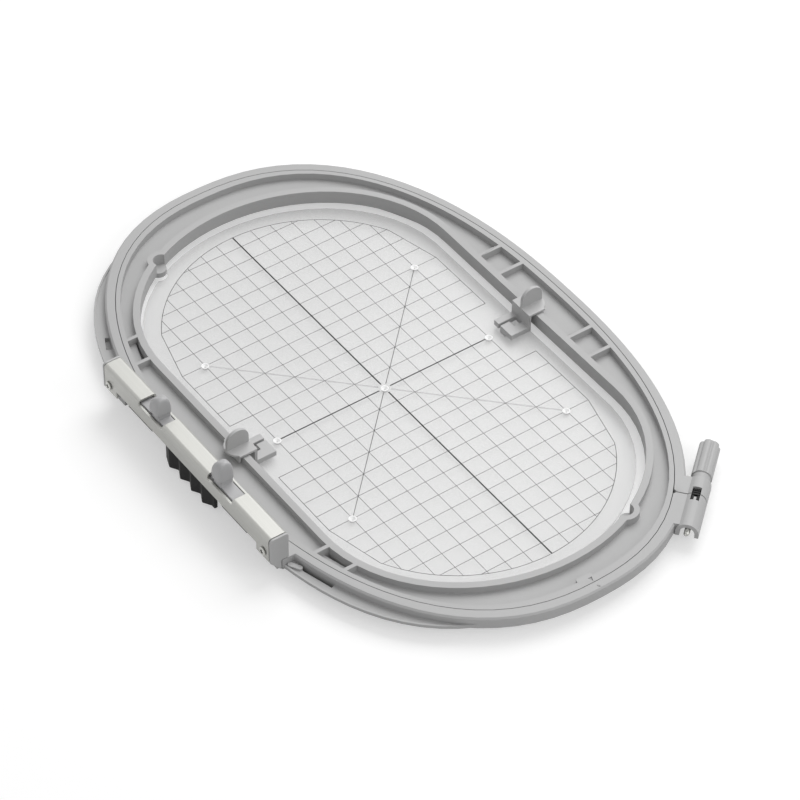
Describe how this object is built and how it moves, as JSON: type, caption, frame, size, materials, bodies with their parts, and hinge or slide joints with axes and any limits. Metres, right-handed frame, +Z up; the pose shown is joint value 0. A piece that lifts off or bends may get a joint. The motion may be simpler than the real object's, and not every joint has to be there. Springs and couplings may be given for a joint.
{
  "type": "machine embroidery hoop",
  "caption": "Oval embroidery hoop for a machine: a clamped outer ring, a lift-out inner ring, a clear grid template with clips and a side rail with release tabs.",
  "frame": {"origin": "on the table under the middle of the part's overall length and width", "axes": "+X along the hoop's long axis towards the end nearer the clamp, +Y away from the side rail, +Z up"},
  "size_m": [0.323, 0.2172, 0.0379],
  "materials": {
    "hoop_plastic": "fine moulded texture, mid grey",
    "clip_plastic": "smooth moulded, darker grey",
    "clear_plastic": "clear smooth sheet, printed grid on the render only",
    "black_plastic": "black moulded",
    "cover_aluminium": "satin anodised",
    "screw_steel": "bright turned"
  },
  "bodies": {
    "hoop": {"outer_hoop": "hoop_plastic", "rail_cover": "cover_aluminium", "slider_carrier": "hoop_plastic", "guide_rod": "screw_steel", "coupling_comb": "black_plastic", "clamp_nut": "screw_steel", "clamp_retainer": "black_plastic", "rail_end_block_left": "hoop_plastic", "cover_screw_left": "screw_steel", "base_screw_left": "screw_steel", "release_spring_left": "screw_steel", "rail_end_block_right": "hoop_plastic", "cover_screw_right": "screw_steel", "base_screw_right": "screw_steel", "release_spring_right": "screw_steel"},
    "inner": {"inner_hoop": "hoop_plastic"},
    "template": {"template_plate": "clear_plastic", "template_clip_far": "clip_plastic", "template_clip_near": "clip_plastic"},
    "clamp": {"clamp_screw": "screw_steel", "clamp_knob": "hoop_plastic"},
    "release_left": {"release_slider_left": "clip_plastic", "latch_bar_left": "black_plastic"},
    "release_right": {"release_slider_right": "clip_plastic", "latch_bar_right": "black_plastic"}
  },
  "joints": [
    {"name": "inner_lift", "type": "slide", "parent": "hoop", "child": "inner", "axis": [0, 0, 1], "range_m": [0, 0.03]},
    {"name": "template_lift", "type": "slide", "parent": "inner", "child": "template", "axis": [0, 0, 1], "range_m": [0, 0.03]},
    {"name": "clamp_turn", "type": "hinge", "parent": "hoop", "child": "clamp", "pos_m": [0.134, 0.07995, 0.008], "axis": [0.6461, -0.7632, 0], "continuous": true},
    {"name": "left_release", "type": "slide", "parent": "hoop", "child": "release_left", "axis": [1, 0, 0], "range_m": [0, 0.003], "stiffness_N_per_m": 300, "springref_m": -0.002},
    {"name": "right_release", "type": "slide", "parent": "hoop", "child": "release_right", "axis": [-1, 0, 0], "range_m": [0, 0.003], "stiffness_N_per_m": 300, "springref_m": -0.002}
  ]
}
